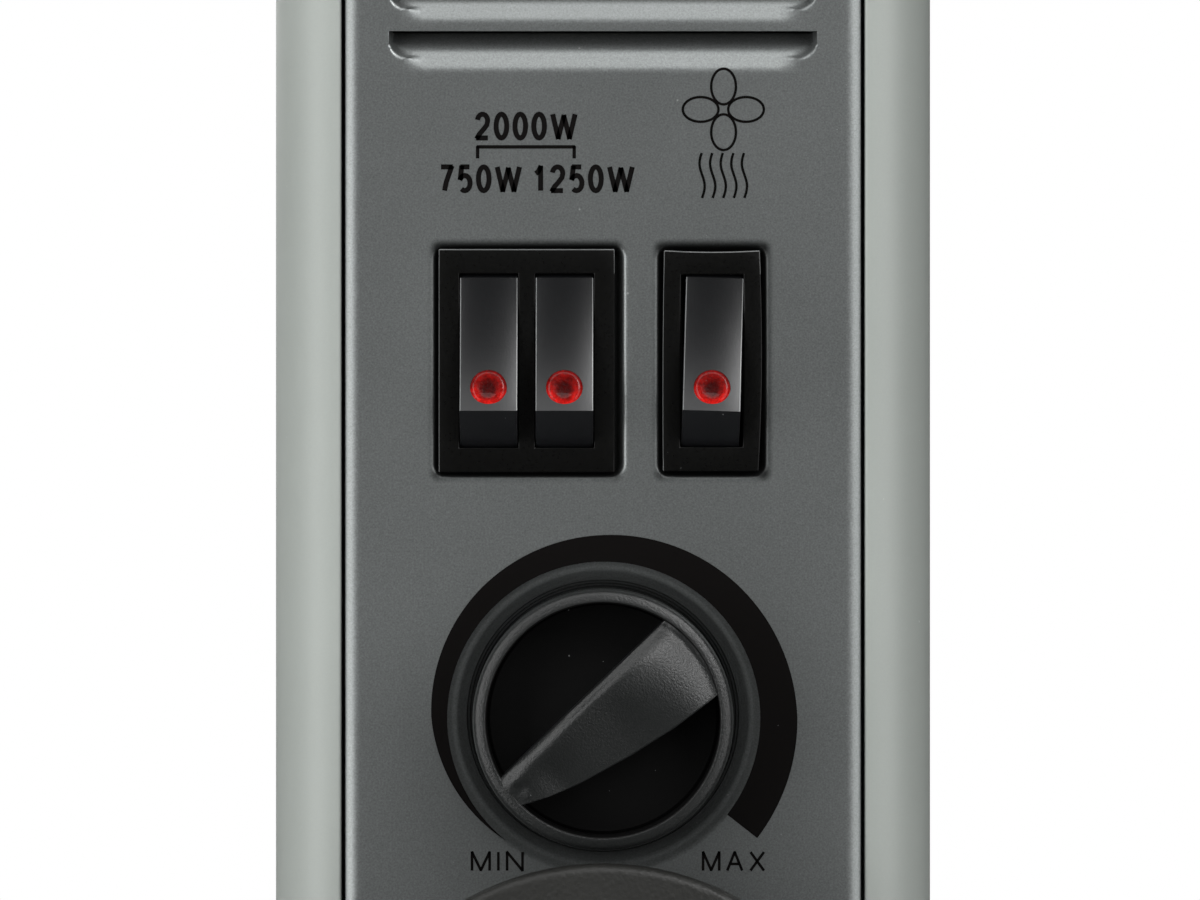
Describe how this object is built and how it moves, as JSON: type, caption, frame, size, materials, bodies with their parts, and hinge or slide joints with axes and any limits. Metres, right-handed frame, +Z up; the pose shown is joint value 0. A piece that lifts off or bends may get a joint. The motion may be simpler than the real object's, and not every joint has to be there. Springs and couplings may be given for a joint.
{
  "type": "oil filled radiator heater",
  "caption": "Free-standing oil filled radiator with a fan-assisted control housing, rocker switches, thermostat knob, cord winder and swivel casters.",
  "frame": {"origin": "centre of the bounding box, at the floor", "axes": "+Z up, the control panel faces -Y, the fins run towards +Y, +X to the right as seen from the front"},
  "size_m": [0.24, 0.472, 0.638],
  "materials": {
    "fin_paint": "semi-gloss light grey-green enamel",
    "housing_paint": "semi-gloss light grey-green enamel",
    "panel_paint": "satin dark grey metallic paint",
    "foot_paint": "satin dark grey paint",
    "cap_plastic": "fine textured dark grey",
    "handle_plastic": "fine textured dark grey",
    "winder_plastic": "leather-grain dark grey",
    "knob_plastic": "fine pebbled near-black",
    "bezel_plastic": "smooth black",
    "rocker_plastic": "satin dark grey",
    "lens_red": "translucent red lens",
    "stat_ceramic": "unglazed ivory steatite",
    "spindle_steel": "turned steel",
    "duct_plastic": "glass-filled black",
    "motor_steel": "laminated steel",
    "impeller_plastic": "off-white moulding",
    "mica_board": "mica board",
    "coil_wire": "oxidised resistance wire",
    "block_plastic": "ivory moulding",
    "pendulum_brass": "plain brass",
    "gland_rubber": "black rubber",
    "wire_sleeve": "brown silicone sleeving",
    "header_steel": "enamelled steel",
    "element_sheath": "copper-plated steel sheath",
    "cutout_steel": "pressed aluminium",
    "shield_steel": "zinc-coated sheet",
    "fastener_zinc": "bright zinc plate",
    "caster_plastic": "black nylon",
    "wheel_plastic": "black nylon"
  },
  "bodies": {
    "heater": {"fin_1": "fin_paint", "fin_2": "fin_paint", "fin_3": "fin_paint", "fin_4": "fin_paint", "fin_5": "fin_paint", "fin_6": "fin_paint", "fin_7": "fin_paint", "fin_8": "fin_paint", "fin_9": "fin_paint", "header_caps": "header_steel", "element_750w": "element_sheath", "element_1250w": "element_sheath", "element_head": "header_steel", "overheat_cutout": "cutout_steel", "housing_shell": "housing_paint", "front_panel": "panel_paint", "top_cap": "cap_plastic", "bottom_cap": "cap_plastic", "heat_shield": "shield_steel", "carry_handle": "handle_plastic", "cover_screws": "fastener_zinc", "shield_nuts": "fastener_zinc", "double_switch_body": "bezel_plastic", "fan_switch_body": "bezel_plastic", "thermostat_body": "stat_ceramic", "fan_duct": "duct_plastic", "fan_motor": "motor_steel", "coil_frame": "mica_board", "heater_coil": "coil_wire", "terminal_block": "block_plastic", "tilt_switch_case": "duct_plastic", "cord_gland": "gland_rubber", "cord_winder": "winder_plastic", "wiring": "wire_sleeve", "foot_front": "foot_paint", "foot_rear": "foot_paint", "u_bolts": "fastener_zinc", "wing_nuts": "fastener_zinc"},
    "rocker_750w_unit": {"rocker_750w": "rocker_plastic", "lens_750w": "lens_red"},
    "rocker_1250w_unit": {"rocker_1250w": "rocker_plastic", "lens_1250w": "lens_red"},
    "rocker_fan_unit": {"rocker_fan": "rocker_plastic", "lens_fan": "lens_red"},
    "thermostat_unit": {"control_knob": "knob_plastic", "thermostat_spindle": "spindle_steel"},
    "impeller_unit": {"fan_impeller": "impeller_plastic"},
    "pendulum_unit": {"tilt_pendulum": "pendulum_brass"},
    "caster_fl": {"caster_fork_fl": "caster_plastic", "axle_fl": "fastener_zinc"},
    "roller_fl": {"wheel_fl": "wheel_plastic"},
    "caster_fr": {"caster_fork_fr": "caster_plastic", "axle_fr": "fastener_zinc"},
    "roller_fr": {"wheel_fr": "wheel_plastic"},
    "caster_rl": {"caster_fork_rl": "caster_plastic", "axle_rl": "fastener_zinc"},
    "roller_rl": {"wheel_rl": "wheel_plastic"},
    "caster_rr": {"caster_fork_rr": "caster_plastic", "axle_rr": "fastener_zinc"},
    "roller_rr": {"wheel_rr": "wheel_plastic"}
  },
  "joints": [
    {"name": "rocker_750w_tilt", "type": "hinge", "parent": "heater", "child": "rocker_750w_unit", "pos_m": [-0.01585, -0.2081, 0.3974], "axis": [1, 0, 0], "range_deg": [0, 25.6]},
    {"name": "rocker_1250w_tilt", "type": "hinge", "parent": "heater", "child": "rocker_1250w_unit", "pos_m": [-0.00535, -0.2081, 0.3974], "axis": [1, 0, 0], "range_deg": [0, 25.6]},
    {"name": "rocker_fan_tilt", "type": "hinge", "parent": "heater", "child": "rocker_fan_unit", "pos_m": [0.0152, -0.2081, 0.3974], "axis": [1, 0, 0], "range_deg": [0, 25.6]},
    {"name": "thermostat_turn", "type": "hinge", "parent": "heater", "child": "thermostat_unit", "pos_m": [0, -0.2155, 0.348], "axis": [0, -1, 0], "range_deg": [-255, 14]},
    {"name": "fan_spin", "type": "hinge", "parent": "heater", "child": "impeller_unit", "pos_m": [0, -0.1835, 0.4962], "axis": [0, 1, 0], "continuous": true},
    {"name": "tilt_swing", "type": "hinge", "parent": "heater", "child": "pendulum_unit", "pos_m": [0.022, -0.1655, 0.16], "axis": [0, 1, 0], "range_deg": [-20, 20]},
    {"name": "swivel_fl", "type": "hinge", "parent": "heater", "child": "caster_fl", "pos_m": [-0.102, -0.0765, 0.054], "axis": [0, 0, 1], "continuous": true},
    {"name": "roll_fl", "type": "hinge", "parent": "caster_fl", "child": "roller_fl", "pos_m": [-0.102, -0.0625, 0.02], "axis": [1, 0, 0], "continuous": true},
    {"name": "swivel_fr", "type": "hinge", "parent": "heater", "child": "caster_fr", "pos_m": [0.102, -0.0765, 0.054], "axis": [0, 0, 1], "continuous": true},
    {"name": "roll_fr", "type": "hinge", "parent": "caster_fr", "child": "roller_fr", "pos_m": [0.102, -0.0625, 0.02], "axis": [1, 0, 0], "continuous": true},
    {"name": "swivel_rl", "type": "hinge", "parent": "heater", "child": "caster_rl", "pos_m": [-0.102, 0.2035, 0.054], "axis": [0, 0, 1], "continuous": true},
    {"name": "roll_rl", "type": "hinge", "parent": "caster_rl", "child": "roller_rl", "pos_m": [-0.102, 0.2175, 0.02], "axis": [1, 0, 0], "continuous": true},
    {"name": "swivel_rr", "type": "hinge", "parent": "heater", "child": "caster_rr", "pos_m": [0.102, 0.2035, 0.054], "axis": [0, 0, 1], "continuous": true},
    {"name": "roll_rr", "type": "hinge", "parent": "caster_rr", "child": "roller_rr", "pos_m": [0.102, 0.2175, 0.02], "axis": [1, 0, 0], "continuous": true}
  ]
}
